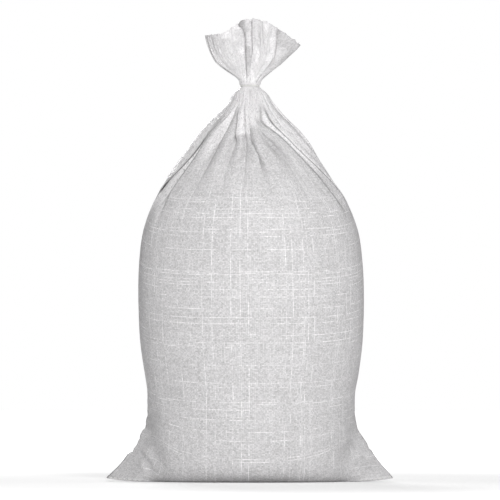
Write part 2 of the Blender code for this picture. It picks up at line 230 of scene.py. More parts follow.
# Creases pressed into one face of the sack: -1 front, 1 back, 0 both; depth, half width, and points as
# distance to the right and height, first those that start at an edge and then those that start softly
EDGE_CREASES = (
    (0, 0.0050, 0.0045, ((-0.240, 0.060), (-0.205, 0.054), (-0.192, 0.048))),
    (-1, 0.0080, 0.0060, ((-0.207, 0.053), (-0.196, 0.044), (-0.187, 0.030), (-0.180, 0.012))),
    (-1, 0.0070, 0.0160, ((-0.186, 0.120), (-0.182, 0.080), (-0.176, 0.040), (-0.172, 0.010))),
    (-1, 0.0030, 0.0040, ((-0.228, 0.032), (-0.210, 0.028), (-0.196, 0.018))),
    (0, 0.0065, 0.0110, ((-0.240, 0.068), (-0.205, 0.067), (-0.185, 0.070))),
    (0, 0.0030, 0.0045, ((-0.230, 0.081), (-0.196, 0.079), (-0.176, 0.084))),
    (0, 0.0030, 0.0045, ((-0.230, 0.102), (-0.190, 0.101), (-0.172, 0.106))),
    (0, 0.0020, 0.0045, ((-0.230, 0.122), (-0.186, 0.122), (-0.172, 0.125))),
    (0, 0.0030, 0.0040, ((0.240, 0.060), (0.200, 0.066), (0.184, 0.074))),
    (-1, 0.0060, 0.0060, ((0.222, 0.044), (0.204, 0.036), (0.190, 0.020))),
    (-1, 0.0070, 0.0160, ((0.196, 0.110), (0.190, 0.076), (0.184, 0.040), (0.180, 0.010))),
    (-1, 0.0020, 0.0045, ((0.236, 0.028), (0.218, 0.022), (0.204, 0.008))),
    (1, 0.0050, 0.0045, ((0.236, 0.062), (0.205, 0.052), (0.188, 0.030))),
    (1, 0.0045, 0.0050, ((-0.222, 0.046), (-0.204, 0.036), (-0.190, 0.018))),
)
RIGHT_DENT = ((0.024, 0.640), (0.033, 0.627), (0.046, 0.612), (0.063, 0.597), (0.080, 0.570))
SOFT_CREASES = (
    (-1, 0.0018, 0.0080, ((-0.150, 0.100), (-0.166, 0.060), (-0.160, 0.020))),
    (-1, 0.0018, 0.0080, ((0.160, 0.110), (0.172, 0.070), (0.166, 0.024))),
    (-1, 0.0095, 0.0100, RIGHT_DENT),
    (-1, 0.0040, 0.0080, ((-0.028, 0.640), (-0.031, 0.624), (-0.036, 0.604), (-0.042, 0.580))),
    (-1, 0.0040, 0.0080, ((0.000, 0.640), (-0.003, 0.616), (-0.008, 0.590))),
    (-1, 0.0060, 0.0090, ((-0.048, 0.640), (-0.064, 0.614), (-0.076, 0.594), (-0.092, 0.566))),
    (1, 0.0030, 0.0080, ((-0.170, 0.110), (-0.150, 0.070), (-0.150, 0.024))),
)
CREASE_LIPS = (0.35, 1.9)  # how far the cloth beside a crease swells, and its width
CREASE_FADE = 2.5  # slope of its fade towards its ends
CREASE_END = 0.2  # where that fade stands at its last point
EDGE_CREASE_START = 0.5  # and at its first point on an edge
FACE_BLEND = 0.010
WAIST_AT_EAR = 0.195  # cloth from the seam up to the waist, at an ear
WEFT_RISE = 3.0
HEM_HEIGHT = 0.009
HEM_STEP = 0.0009
HEM_SOFTNESS = 0.0016
HEM_FROM = (0.5, 0.2)  # of the way to an ear, where its step shows and over how far

# Wrinkles. Each zone: height where it begins and over how far, where it ends and over how far
BODY_ZONE = ((0.0, 0.05), (0.58, 0.10))
SHOULDER_ZONE = ((0.47, 0.12), (0.712, 0.02))
NECK_ZONE = ((0.63, 0.05), (0.720, 0.01))
RUFFLE_FROM = (0.745, 0.05)
# Each pattern: number round the sack, length up it, and seed
WIDE_BULGES = (9, 0.13, 1)
NARROW_BULGES = (27, 0.05, 2)
RIDGES = (60, 0.12, 3)
FINE_RIDGES = (120, 0.07, 4)
FLARE_RIDGES = (90, 0.06, 5)
CRINKLES = (110, 0.011, 6)
FINE_CRINKLES = (160, 0.007, 7)
BULGE_DEPTHS = (0.0016, 0.0007)
RIDGE_DEPTHS = (0.0010, 0.0005)  # in the shoulders, and more in the neck
FINE_RIDGE_SHARE = 0.5
FLARE_DEPTH = 0.0004
CRINKLE_DEPTH = 0.0008
FINE_CRINKLE_SHARE = 0.6
NARROW_VALLEYS = (-0.4, 0.9)  # level below which the ridges leave a valley that gets painted shade, and its contrast
GROOVE_WIDTH = 0.0016
GROOVE_LIPS = (0.0012, 0.0040, 0.0022)  # height, distance from the tie and width

# Shade, from 0 to 1: how dark, and the place where it begins and over how far
EAR_SHADE = (0.30, 0.20)  # of the left ear and of the right one
EAR_SHADE_FROM = (0.72, 0.12)  # of the way to an ear
EAR_SHADE_TO = (0.03, 0.05)
FLOOR_SHADE = 0.22  # of the cloth that turns in under the sack
FLOOR_SHADE_TO = (0.003, 0.030)
NECK_SHADE = 0.32  # in the narrow valleys below the tie
CREASE_SHADE = 0.35
DARK_CREASE = 0.008  # depth of a crease from which it is fully dark
RUFFLE_SHADE = 0.24  # painted shade of the ruffle, left out in patches that stand for its lit crinkles as painted highlights
RUFFLE_SHADE_FROM = (0.740, 0.02)
# Painted highlight patches of the ruffle, where its painted shade is left out: number round the sack,
# length up it, and seed
HIGHLIGHT_PATCHES = (70, 0.016, 31)
PATCH_EDGE = (0.30, 0.10)
FILL_EDGE = (24, 0.03, 21)  # waves of the rice's upper edge: number, length and seed
FILL_EDGE_WAVE = (0.002, 0.1)  # their height, and more of it for a soft edge

# Woven cloth
TAPE = 0.0027  # width of one woven tape
TAPE_ROUNDNESS = 4.0
WOBBLE = 0.0012
WOBBLE_SCALE = 60.0
SPECK = (420.0, 2.0, 0.7)  # scale, detail and roughness
CLOUD = (22.0, 3.0)
CRINKLE_NOISE = (150.0, 3.0)
GRAIN_SCALE = 210.0
GRAIN_SMOOTHNESS = 0.6
BRIGHT_TAPES = (0.84, 0.88)  # of the tapes' random numbers, from which a tape is bright
BRIGHT_PATTERN = (7.3, 26.0)  # of its stretches, from tape to tape and per metre along one
BRIGHT_STRETCH = (0.40, 0.62)
BRIGHT_WIDTH = (0.35, 0.75)  # from the middle of a tape to its edge
LINES_FADE = (0.50, 0.58)  # height over which the bright tapes fade towards the shoulders
LINES_IN_SHOULDER = 0.35
GAP_RATES = (90.0, 170.0)  # how often the dark gaps come: round the neck, and per metre up it
GAP_SPREAD = 0.06  # distance below the tie at which they come half as often round it
GAP_EDGE = (0.58, 0.68)
GAPS_IN_RUFFLE = 0.35
GAPS_FADE = (-0.03, 0.0)  # distance below the tie over which they fade into the ruffle
# Brightness: without rice behind the cloth and with it
LEVELS = (0.87, 0.60)
LINE_TONES = (0.03, 0.20)
GAP_TONES = (-0.30, -0.04)
# Brightness from the least to the most of each pattern
TAPE_TONE = 0.05
CROSSING_TONE = 0.16
SPECK_TONE = 0.60
CLOUD_TONE = 0.10
WEAVE_TONE = 0.12
WEAVE_MIDDLE = 0.8
SHADE_TONE = -0.62  # what full shade takes of the brightness
CLOTH_TINT = (1.0, 0.985, 0.995)
CLOTH_ROUGHNESS = (0.16, 0.40)  # how much it varies from tape to tape, and its least
CLOTH_SPECULAR = 0.45
# Relief, and for the last two again without rice behind the cloth and with it
WEAVE_RELIEF = 0.45
SPECK_RELIEF = 0.35
GRAIN_RELIEF = -0.5
GRAINS_SHOW = (0.15, 1.0)
CRINKLE_RELIEFS = (2.4, 0.0)
CLOTH_BUMP = (0.55, 0.0006)  # strength and distance

# Twine and stitches
TWINE_RADIUS = 0.0007
TWINE_TURNS = 2
TWINE_STEP = 1.75  # from turn to turn, in radii
TWINE_TWIST = 44  # half turns of the two strands, once round the neck
TWINE_WAVE = 0.0003
TWINE_GROOVE = 0.0026
STRAND_RADIUS = 0.62 * TWINE_RADIUS
STRAND_OUT = 0.45 * TWINE_RADIUS
KNOT_OUT = 0.0024
KNOT_SIZE = (0.0027, 0.0011, 0.0019)  # half width, half depth and half height
KNOT_IN = 0.0004
KNOT_TILT = 0.5
TAIL_TWIST = 16
TAIL_ACROSS = (0.0015, 0.0165)
TAIL_OUT = 0.0150
TAIL_CURVE = 1.4
TAIL_DROP = (0.0005, 0.0060)
TWINE_LEVEL = 0.78
TWINE_TINT = (1.0, 1.0, 0.97)
FIBRES = (900.0, 2.0)
FIBRE_TONE = 0.30
TWINE_ROUGHNESS = (0.25, 0.40)
TWINE_BUMP = (0.4, 0.0002)
STITCH_STEP = 0.0090
STITCH_LENGTH = 0.0062
STITCH_RADIUS = 0.0005
STITCH_HEIGHT = 0.45  # of the hem's height
STITCH_OUT = 0.25  # of its radius
FIRST_STITCH = 0.004
STITCH_CLEARANCE = 0.0004  # of the floor

# Grid
COLUMN_STEP = 0.0034
BOTTOM_ROWS = 36
BODY_STEP = 0.0045
SHOULDER_STEP = 0.0030
SHOULDER_START = 0.44
NECK_ROWS = 10
RUFFLE_ROWS = 52
LEAN_STEPS = 24  # in which the way up to a row of the ruffle is followed

# Camera: long lens, level with the lower half of the sack, in the photograph's frame
METRES_PER_PIXEL = 0.00185
FRAME_PIXELS = 500
CENTRE_HEIGHT = 0.427
CAMERA_DISTANCE = 7.0
CAMERA_HEIGHT = 0.15
SENSOR = 36.0
FARTHEST_SEEN = 50.0

# Studio
FLOOR_SIZE = 60.0
FLOOR_DROP = 0.0005
FLOOR_COLOUR = (0.93, 0.93, 0.93, 1.0)
WHITE = (1.0, 1.0, 1.0, 1.0)
GLOW_RADIUS = (0.5, 2.2)  # between these distances the floor passes into the white background
NEAR_GLOW = 0.18
AMBIENT = 0.20
LIGHT_AIM = (0.0, 0.0, 0.45)
# Name, place, width of the square light, and power in watts
LIGHTS = (
    ("key", (0.8, -3.8, 1.6), 0.9, 98.0),
    ("fill", (-1.6, -3.7, 0.4), 1.2, 20.0),
    ("left", (-3.6, 0.0, 1.8), 1.2, 14.0),
    ("right", (3.6, 0.0, 1.8), 1.2, 14.0),
    ("top", (0.0, 0.0, 3.0), 1.6, 9.0),
    ("back", (-0.8, 3.8, 2.0), 1.2, 80.0),
)


def smooth_table(position, table):
    """A smooth curve through the table's rows, whose first column is the position."""
    knots = np.array(table, float)
    place, values = knots[:, 0], knots[:, 1:]
    slopes = np.gradient(values, place, axis=0)
    position = np.clip(np.asarray(position, float), place[0], place[-1])
    low = np.clip(np.searchsorted(place, position, side="right") - 1, 0, len(place) - 2)
    step = place[low + 1] - place[low]
    t = ((position - place[low]) / step)[..., None]
    step = step[..., None]
    return (
        values[low] * (1 + 2 * t) * (1 - t) ** 2
        + slopes[low] * step * t * (1 - t) ** 2
        + values[low + 1] * (3 - 2 * t) * t**2
        + slopes[low + 1] * step * (t - 1) * t**2
    )


def ease(t):
    t = np.clip(t, 0.0, 1.0)
    return t * t * (3 - 2 * t)


def ramp(value, start, over):
    """0 up to the start, then smoothly up to 1 over a distance."""
    return ease((value - start) / over)


def zone(height, begins, ends):
    return ramp(height, *begins) * (1 - ramp(height, *ends))


def varied(number, middle, variation, rate):
    return middle + variation * math.sin(rate * number)


def noise(across, along, period, seed):
    """Smooth noise from -1 to 1 over cells of 1, which repeats across after a whole period."""
    lattice = np.random.default_rng(seed).uniform(-1.0, 1.0, (period, 128))
    left, low = np.floor(across).astype(int), np.floor(along).astype(int)
    right_share, high_share = ease(across - left), ease(along - low)
    left, right = left % period, (left + 1) % period
    low, high = low % 128, (low + 1) % 128
    lower = lattice[left, low] * (1 - right_share) + lattice[right, low] * right_share
    upper = lattice[left, high] * (1 - right_share) + lattice[right, high] * right_share
    return lower * (1 - high_share) + upper * high_share


def wrinkles(line, along, count, length, seed):
    """Noise with a number of cells round the sack, and cells of a length up it."""
    return noise(line * count, along / length, count, seed)


def ridges(*pattern):
    return 1 - 2 * np.abs(wrinkles(*pattern))


def superellipse(turn, half_width, half_depth):
    """Point of a section at a turn in degrees, as x and y."""
    sine, cosine = np.sin(np.radians(turn)), np.cos(np.radians(turn))
    power = 2 / SECTION_POWER
    x = half_width * np.sign(sine) * np.abs(sine) ** power
    y = -half_depth * np.sign(cosine) * np.abs(cosine) ** power
    return x, y


def girth_of(half_width, half_depth):
    x, y = superellipse(np.linspace(0.0, 360.0, 181), half_width, half_depth)
    return np.hypot(np.diff(x), np.diff(y)).sum()


def seam_share(turn):
    """Where a column meets the bottom seam: -1 at the left ear, 1 at the right one."""
    fine = np.linspace(-90.0, 90.0, 721)
    x, y = superellipse(fine, *smooth_table(WAIST_HEIGHT, OUTLINE)[:2])
    length = np.concatenate([[0.0], np.cumsum(np.hypot(np.diff(x), np.diff(y)))])
    front = (turn + 90.0) % 360.0 <= 180.0
    folded = np.where(front, (turn + 90.0) % 360.0, (270.0 - turn) % 360.0) - 90.0
    return np.interp(folded, fine, length / length[-1]) * 2 - 1


class Cloth:
    """The cloth's columns: the fold to the left of each, and how far it is on the way to the next."""

    def __init__(self):
        turns = [list(row) for row in FRONT_TURNS]
        folds = [list(row) for row in FRONT_FOLDS]
        first = np.array([turns[-1][0], turns[-1][-1]])
        to_tie = ease((np.array(FOLD_HEIGHTS) - FOLD_HEIGHTS[0]) / (FOLD_HEIGHTS[-2] - FOLD_HEIGHTS[0]))
        for number in range(1, BACK_FOLDS + 1):
            share = number / BACK_FOLDS
            wander = varied(number, *BACK_WANDER) * (share < 1)
            body, tie = first + (np.array(LEFT_SIDE_FOLD) - first) * share + wander
            turns.append(list(body * (1 - to_tie) + tie * to_tie))
            on_top = 1 if math.sin(BACK_TOP_RATE * number) > 0 else -1
            shape = (
                varied(number, *BACK_SPARE),
                varied(number, *BACK_FOOT),
                BACK_OPENING,
                varied(number, *BACK_HEAD),
                varied(number, *BACK_DEPTH),
            )
            fill = (varied(number, *BACK_FILL_HEIGHT), BACK_FILL_SOFTNESS)
            folds.append([on_top, *shape, BACK_SHADED, BACK_DARKNESS, *fill])
        self.count = len(folds)
        self.turns = np.array(turns + [[turn + 360.0 for turn in turns[0]]]).T
        self.body_turn, self.tie_turn = self.turns[0], self.turns[-1]
        table = np.array(folds + [folds[0]])
        self.on_top, self.share, self.foot, self.opening, self.head, self.depth = table[:, :6].T
        self.share = self.share / self.share[:-1].sum()
        self.shaded, self.darkness, self.fill_height, self.fill_softness = table[:, 6:].T
        self.lobes = np.array(RUFFLE_LOBES + RUFFLE_LOBES[:1])
        self.lobes[-1, :3] += (self.count, 360.0, 360.0)
        self.lobe_starts = self.lobes[:, 0].astype(int)
        numbers = np.arange(self.count + 1)
        self.halfway_turn, self.mouth_turn, lobe_on_top = (
            np.interp(numbers, self.lobe_starts, self.lobes[:, column]) for column in (1, 2, 5)
        )
        self.is_lobe_edge = np.isin(numbers, self.lobe_starts)
        self.lobe_on_top = np.where(self.is_lobe_edge, lobe_on_top, 0.0)
        panel, phase = [], []
        for number, width in enumerate(np.diff(self.body_turn) / 360 * CLOTH_GIRTH):
            steps = max(12, 2 * round(width / COLUMN_STEP / 2))
            panel += [number] * steps
            phase += [step / steps for step in range(steps)]
        self.panel, self.phase = np.array(panel), np.array(phase)
        self.turn = self.between(self.body_turn)
        self.seam_place = seam_share(self.turn)

    def between(self, values, phase=None):
        """A value given for each fold, taken in between for each column."""
        phase = self.phase if phase is None else phase
        return values[self.panel] * (1 - phase) + values[self.panel + 1] * phase

    def folded(self, hidden, width, on_top, crisp, shaded, darkness):
        """Place of each column between its folds, its layer (1 on top, -1 below) and its shade.

        hidden is the cloth folded under at each fold, width the panels' widths, crisp is 1 where a
        fold is sharp, and shaded and darkness are the width and strength of the shade beside it.
        """
        phase, own = self.phase, width[self.panel]
        left, right = hidden[self.panel] / own, hidden[self.panel + 1] / own
        middle = (phase - CREASE) / (1 - 2 * CREASE)
        place = -left / 2 + (1 + (left + right) / 2) * middle
        place = np.where(phase < CREASE, -left / 2 * phase / CREASE, place)
        place = np.where(phase > 1 - CREASE, 1 + right / 2 * (1 - phase) / CREASE, place)
        up_left, up_right = on_top[self.panel], -on_top[self.panel + 1]
        layer = up_left * (1 - ease(middle)) + up_right * ease(middle)
        layer = np.where(phase < CREASE, up_left * phase / CREASE, layer)
        layer = np.where(phase > 1 - CREASE, up_right * (1 - phase) / CREASE, layer)
        shade = np.zeros_like(phase)
        sides = (
            (self.panel, up_left, phase, place, left / 2),
            (self.panel + 1, up_right, 1 - phase, 1 - place, right / 2),
        )
        for fold, up, from_fold, from_line, tucked in sides:
            shade_width = np.minimum(shaded[fold], SHADED_SHARE * own)
            below = 1 - ease((from_line - tucked) * own / shade_width)
            # Painted shade beside each fold, and along the edge of the darkest ones a painted shadow
            # line
            has_rim = np.clip((darkness[fold] - RIM_FROM) / (RIM_FULL - RIM_FROM), 0.0, 1.0)
            rim = has_rim * (1 - ease((from_line + tucked) * own / RIM_WIDTH))
            above = np.maximum(rim, 1 - ease(from_fold / CREASE))
            strength = crisp[fold] * darkness[fold]
            shade = np.maximum(shade, np.where(up < 0, below, above) * strength)
        return self.phase * (1 - self.between(crisp)) + place * self.between(crisp), layer, shade


def scallop(phase):
    return np.abs(np.sin(np.pi * phase)) ** CREST_ROUNDNESS


def body_row(height, cloth):
    """One ring round the body or the shoulders: points and shade of each."""
    half_width, half_depth, shift = smooth_table(height, OUTLINE)
    fold_turn = smooth_table(height, np.column_stack([FOLD_HEIGHTS, cloth.turns]))
    wander = np.sin(WANDER_RATE[0] * height + WANDER_RATE[1] * np.arange(cloth.count + 1))
    wander = wander * ramp(height, *WANDER_FROM)
    wander[-1] = wander[0]
    fold_turn = fold_turn + FOLD_WANDER * wander * ease((TIE_HEIGHT - height) / WANDER_END)
    width = np.diff(fold_turn) / 360 * girth_of(half_width, half_depth)
    room = np.minimum(width, np.roll(width, 1))
    room = np.append(room, room[0])
    opened = ramp(height, cloth.foot, cloth.opening)
    spare = cloth.share * max(0.0, CLOTH_GIRTH - width.sum()) * opened
    hidden = np.minimum(spare / 2, MOST_HIDDEN * room)
    standing = 1 - (1 - LEFT_BY_RUN_OUT) * ramp(height, cloth.head, RUN_OUT)
    crisp = ease(hidden / FULL_FOLD) * standing
    look = (cloth.on_top, crisp, cloth.shaded, cloth.darkness)
    place, layer, shade = cloth.folded(hidden, width, *look)
    turn = fold_turn[cloth.panel] + np.diff(fold_turn)[cloth.panel] * place
    x, y = superellipse(turn, half_width, half_depth)
    layer = layer * cloth.between(crisp)
    valley = smooth_table(height, PLEAT_DEPTH)[0] * (1 - scallop(cloth.phase))
    valley = valley * cloth.between(cloth.depth * standing) * (1 - UNDERCUT * layer)
    lift = FOLD_LIFT * np.minimum(1.0, half_depth / THIN_NECK) * layer
    outward = 1 + (lift - valley) / np.hypot(x, y)
    place = (x * outward + shift, y * outward, np.full_like(x, height))
    return np.stack([*place, shade, cloth.between(crisp)], axis=1)


def bottom_rows(cloth):
    """Rings from the seam on the floor out and up to the waist, with the two ears."""
    waist = body_row(WAIST_HEIGHT, cloth)[:, :3]
    share = cloth.seam_place
    side = np.sign(share)
    front = np.where(waist[:, 1] < -1e-6, -1.0, np.where(waist[:, 1] > 1e-6, 1.0, 0.0))
    seam_y = front * HEM_THICKNESS / 2 - SEAM_FORWARD
    seam = np.stack([share * EAR_SPAN / 2, seam_y, EAR_LIFT * np.abs(share) ** EAR_CURL], axis=1)
    ear = ramp(np.abs(share), EAR_START, 1 - EAR_START)[:, None]
    fan = BASE_FAN * seam[:, 0] + (1 - BASE_FAN) * waist[:, 0]
    flat_1 = np.stack([fan, waist[:, 1], 0 * side], axis=1)
    flat_2 = waist * [BASE_PULL[0], BASE_PULL[1], 0.0] + [0.0, 0.0, BASE_PULL[2]]
    low, high = np.where(side[:, None] < 0, LEFT_EAR, RIGHT_EAR).T
    ear_y = EAR_THICKNESS * waist[:, 1] - EAR_BEND[0] * SEAM_FORWARD
    ear_1 = np.stack([EAR_FULLNESS * seam[:, 0], ear_y, low], axis=1)
    ear_y = EAR_TOP_DEPTH * waist[:, 1] - EAR_BEND[1] * SEAM_FORWARD
    ear_2 = np.stack([waist[:, 0], ear_y, high], axis=1)
    near = flat_1 * (1 - ear) + ear_1 * ear
    far = flat_2 * (1 - ear) + ear_2 * ear
    rows = []
    for s in np.linspace(0.0, 1.0, BOTTOM_ROWS, endpoint=False):
        ring = (
            seam * (1 - s) ** 3
            + near * 3 * s * (1 - s) ** 2
            + far * 3 * s**2 * (1 - s)
            + waist * s**3
        )
        press = BASE_PRESS * (1 - s) * (1 - ear[:, 0])
        ring[:, 2] = np.maximum(ring[:, 2] - press, 0.0)
        rows.append(np.column_stack([ring, 0 * share, 0 * share]))
    return rows


def ruffle_rows(cloth):
    """Rings of the ruffle, from just above the tie up to its mouth."""
    half_width, half_depth = OUTLINE[-1][1:3]
    line = cloth.panel + cloth.phase
    lobe = np.searchsorted(cloth.lobe_starts, line, side="right") - 1
    span = np.diff(cloth.lobe_starts)[lobe]
    phase = (line - cloth.lobe_starts[lobe]) / span
    depths, fullness, lobe_shade = cloth.lobes[:, 3], cloth.lobes[lobe, 4], cloth.lobes[lobe, 6]
    in_mouth = ease((CURL_OPEN - cloth.phase) / CURL_OPEN_SOFTNESS) * (cloth.panel == CURLED_FOLD)
    shaded = np.full(cloth.count + 1, RUFFLE_SHADED)
    lobe_depth = depths[lobe] * (1 - phase) + depths[lobe + 1] * phase
    lobe_depth = lobe_depth * (1 - fullness * scallop(phase))
    rags = sum(
        strength * noise(line / cloth.count * count, 0 * line, count, seed)
        for strength, count, seed in RAG_PATTERNS
    )
    rows = []
    for share in np.linspace(0.0, 1.0, RUFFLE_ROWS + 1)[1:]:
        opening = ramp(share, *PLEATS_TO_LOBES)
        to_mouth = ramp(share, *TO_MOUTH_TURN)
        mouth_turn = cloth.halfway_turn * (1 - to_mouth) + cloth.mouth_turn * to_mouth
        curl = ramp(share, CURL_START, 1 - CURL_START)
        mouth_turn[CURLED_FOLD] -= CURL * curl
        girth = NECK_GIRTH + (MOUTH_GIRTH - NECK_GIRTH) * share
        width = np.diff(cloth.tie_turn * (1 - opening) + mouth_turn * opening) / 360 * girth
        room = np.minimum(width, np.roll(width, 1))
        room = np.append(room, room[0])
        hidden = MOST_HIDDEN * room * np.where(cloth.is_lobe_edge, 1.0, (1 - share) ** 2)
        on_top = cloth.on_top * (1 - opening) + cloth.lobe_on_top * opening
        crisp = np.where(cloth.is_lobe_edge, 1.0, PLEAT_CRISPNESS * (1 - opening))
        place, layer, shade = cloth.folded(hidden, width, on_top, crisp, shaded, np.abs(on_top))
        inner = lobe_shade + CURL_SHADE * curl * in_mouth
        shade = np.maximum(RUFFLE_EDGE_SHADE * shade, opening * inner)
        side = np.sin(np.radians(cloth.between(mouth_turn, place)))
        length = smooth_table(side, RUFFLE_LENGTH)[:, 0] + MOUTH_RAGS * rags * share**RAG_POWER
        x, _ = superellipse(cloth.between(cloth.tie_turn, place), half_width, half_depth)
        z = np.full_like(x, OUTLINE[-1][0])
        for part in (np.arange(LEAN_STEPS) + 0.5) / LEAN_STEPS * share:
            left, right = smooth_table(part * length, RUFFLE_LEAN).T
            lean = np.radians(np.where(side < 0, left, right) * side)
            x = x + np.sin(lean) * length * share / LEAN_STEPS
            z = z + np.cos(lean) * length * share / LEAN_STEPS
        opened = ease(share * LOBES_OPEN_BY)
        turn = cloth.between(cloth.tie_turn * (1 - opened) + mouth_turn * opened, place)
        cosine = np.cos(np.radians(turn))
        y = -cosine * (half_depth + (MOUTH_HALF_DEPTH - half_depth) * share)
        fold = np.minimum(lobe_depth * opened, DEEPEST_FOLD * np.abs(y))
        lift = LOBE_LIFT * ease(share / LOBE_LIFT_BY) * layer
        y = y + np.sign(cosine) * (fold - lift) * np.sqrt(np.abs(cosine))
        rows.append(np.stack([x, y, z, shade, np.ones_like(x)], axis=1))
    return rows


def grid_normals(grid):
    """Outward normal at each point of a grid of rings."""
    around = np.roll(grid, -1, axis=1) - np.roll(grid, 1, axis=1)
    up = np.gradient(grid, axis=0)
    normal = np.cross(around, up)
    return normal / np.maximum(np.linalg.norm(normal, axis=2, keepdims=True), 1e-9)


def cloth_points(cloth):
    rows = bottom_rows(cloth)
    rows += [body_row(z, cloth) for z in np.arange(WAIST_HEIGHT, SHOULDER_START, BODY_STEP)]
    neck_foot, neck_top = OUTLINE[-2][0], OUTLINE[-1][0]
    rows += [body_row(z, cloth) for z in np.arange(SHOULDER_START, neck_foot, SHOULDER_STEP)]
    rows += [body_row(z, cloth) for z in np.linspace(neck_foot, neck_top, NECK_ROWS)]
    return np.array(rows + ruffle_rows(cloth))


def fabric_coordinates(grid, cloth, crisp):
    """Where each point is in the flat cloth: across it and along it, in metres.

    Across, each panel is measured from its own middle, so its tapes run on into the folds.
    """
    step = np.linalg.norm(np.roll(grid, -1, axis=1) - grid, axis=2)
    run = np.concatenate([np.zeros((len(grid), 1)), np.cumsum(step, axis=1)], axis=1)
    across = np.zeros(grid.shape[:2])
    fold_place = (cloth.body_turn - cloth.body_turn[0]) / 360 * CLOTH_GIRTH
    for number in range(cloth.count):
        mine = np.flatnonzero(cloth.panel == number)
        first, last = mine[0], mine[-1] + 1
        crease = max(1, round(CREASE * len(mine)))
        middle = (first + last) // 2
        centre = (fold_place[number] + fold_place[number + 1]) / 2
        inner = np.arange(first + crease, last - crease + 1)
        across_inner = centre + run[:, inner] - run[:, [middle]]
        across[:, inner[inner < grid.shape[1]]] = across_inner[:, inner < grid.shape[1]]
        for offset in range(crease):
            t = offset / crease
            across[:, first + offset] = fold_place[number] * (1 - t) + across_inner[:, 0] * t
            if offset:
                right = fold_place[number + 1] * (1 - t) + across_inner[:, -1] * t
                across[:, last - offset] = right
    even = cloth.between(fold_place)
    across = even + (across - even) * crisp
    rise = np.linalg.norm(np.diff(grid, axis=0), axis=2)
    along = np.concatenate([np.zeros((1, grid.shape[1])), np.cumsum(rise, axis=0)])
    waist = along[BOTTOM_ROWS]
    outer = np.abs(cloth.seam_place)
    for face in (grid[BOTTOM_ROWS, :, 1] <= 0, grid[BOTTOM_ROWS, :, 1] > 0):
        middle = waist[face][np.argmin(outer[face])]
        wanted = middle + (WAIST_AT_EAR - middle) * outer**WEFT_RISE
        scale = np.where(face, wanted / waist, 1.0)
        along[:BOTTOM_ROWS] *= scale
        along[BOTTOM_ROWS:] += np.where(face, wanted - waist, 0.0)
    return across, along


def crease_depth(grid, creases, at_start):
    """How far each point is pressed in by the creases, which begin at a share of their depth."""
    flat = grid[:, :, [0, 2]]
    depth = np.zeros(grid.shape[:2])
    for face, deep, half_width, points in creases:
        distance = np.full(grid.shape[:2], np.inf)
        ends = np.zeros(grid.shape[:2])
        points = np.array(points)
        count = len(points) - 1
        for number, (start, end) in enumerate(zip(points, points[1:])):
            run = end - start
            place = np.clip(((flat - start) @ run) / (run @ run), 0.0, 1.0)
            away = np.linalg.norm(flat - start - place[:, :, None] * run, axis=2)
            ends = np.where(away < distance, (number + place) / count, ends)
            distance = np.minimum(distance, away)
        profile = np.exp(-((distance / half_width) ** 2))
        profile -= CREASE_LIPS[0] * np.exp(-((distance / half_width / CREASE_LIPS[1]) ** 2))
        fade = ease((1.0 - ends) * CREASE_FADE + CREASE_END) * ease(ends * CREASE_FADE + at_start)
        on_face = ease(face * grid[:, :, 1] / FACE_BLEND + 0.5) if face else 1.0
        depth += deep * profile * fade * on_face
    return depth


def crumple(grid, cloth, along, pressed):
    """Moves the points along their normals: bulges, creases, hem, wrinkles down from the tie.

    Gives the moved points, and how deep each lies in the narrow valleys below the tie.
    """
    height = grid[:, :, 2]
    line = np.broadcast_to(cloth.turn / 360, height.shape)
    in_body, in_shoulder = zone(height, *BODY_ZONE), zone(height, *SHOULDER_ZONE)
    in_neck, in_ruffle = zone(height, *NECK_ZONE), ramp(height, *RUFFLE_FROM)
    move = BULGE_DEPTHS[0] * wrinkles(line, along, *WIDE_BULGES) * in_body
    move += BULGE_DEPTHS[1] * wrinkles(line, along, *NARROW_BULGES) * in_body
    wide, fine = ridges(line, along, *RIDGES), ridges(line, along, *FINE_RIDGES)
    depth = RIDGE_DEPTHS[0] + RIDGE_DEPTHS[1] * in_neck
    move += depth * (wide + FINE_RIDGE_SHARE * fine) * in_shoulder
    valleys = in_neck * np.clip(NARROW_VALLEYS[0] - NARROW_VALLEYS[1] * (wide + fine), 0.0, 1.0)
    crinkle = wrinkles(line, along, *CRINKLES)
    crinkle += FINE_CRINKLE_SHARE * wrinkles(line, along, *FINE_CRINKLES)
    flare = ridges(line, along, *FLARE_RIDGES)
    move += (FLARE_DEPTH * flare + CRINKLE_DEPTH * crinkle) * in_ruffle
    from_tie = np.abs(height - TIE_HEIGHT)
    lip_height, lip_place, lip_width = GROOVE_LIPS
    move += lip_height * np.exp(-(((from_tie - lip_place) / lip_width) ** 2))
    move -= TWINE_GROOVE * np.exp(-((from_tie / GROOVE_WIDTH) ** 2))
    on_ear = ramp(np.abs(cloth.seam_place), *HEM_FROM)
    hem = 1 - ease((along - HEM_HEIGHT) / HEM_SOFTNESS + 0.5)
    move += HEM_STEP * hem * on_ear
    move -= pressed
    moved = grid + grid_normals(grid) * move[:, :, None]
    moved[:, :, 2] = np.maximum(moved[:, :, 2], 0.0)
    moved[0] = grid[0]
    return moved, valleys


def pocket_rows(outer):
    """Rings of the inner face of the ruffle, from the mouth down to the foot of its pocket."""
    inner = outer - CLOTH_THICKNESS * grid_normals(outer)
    rows = [inner[-1 - row] for row in range(round(RUFFLE_ROWS * POCKET_SHARE))]
    lowest = rows[-1]
    middle = lowest.mean(axis=0)
    for size, drop in POCKET_FLOOR:
        rows.append(middle + (lowest - middle) * size - [0.0, 0.0, drop])
    return rows


def add_object(name, data):
    made = bpy.data.objects.new(name, data)
    bpy.context.scene.collection.objects.link(made)
    return made


def mesh_object(name, points, faces, material):
    mesh = bpy.data.meshes.new(name)
    mesh.from_pydata(points, [], faces)
    mesh.shade_smooth()
    mesh.materials.append(material)
    return add_object(name, mesh)


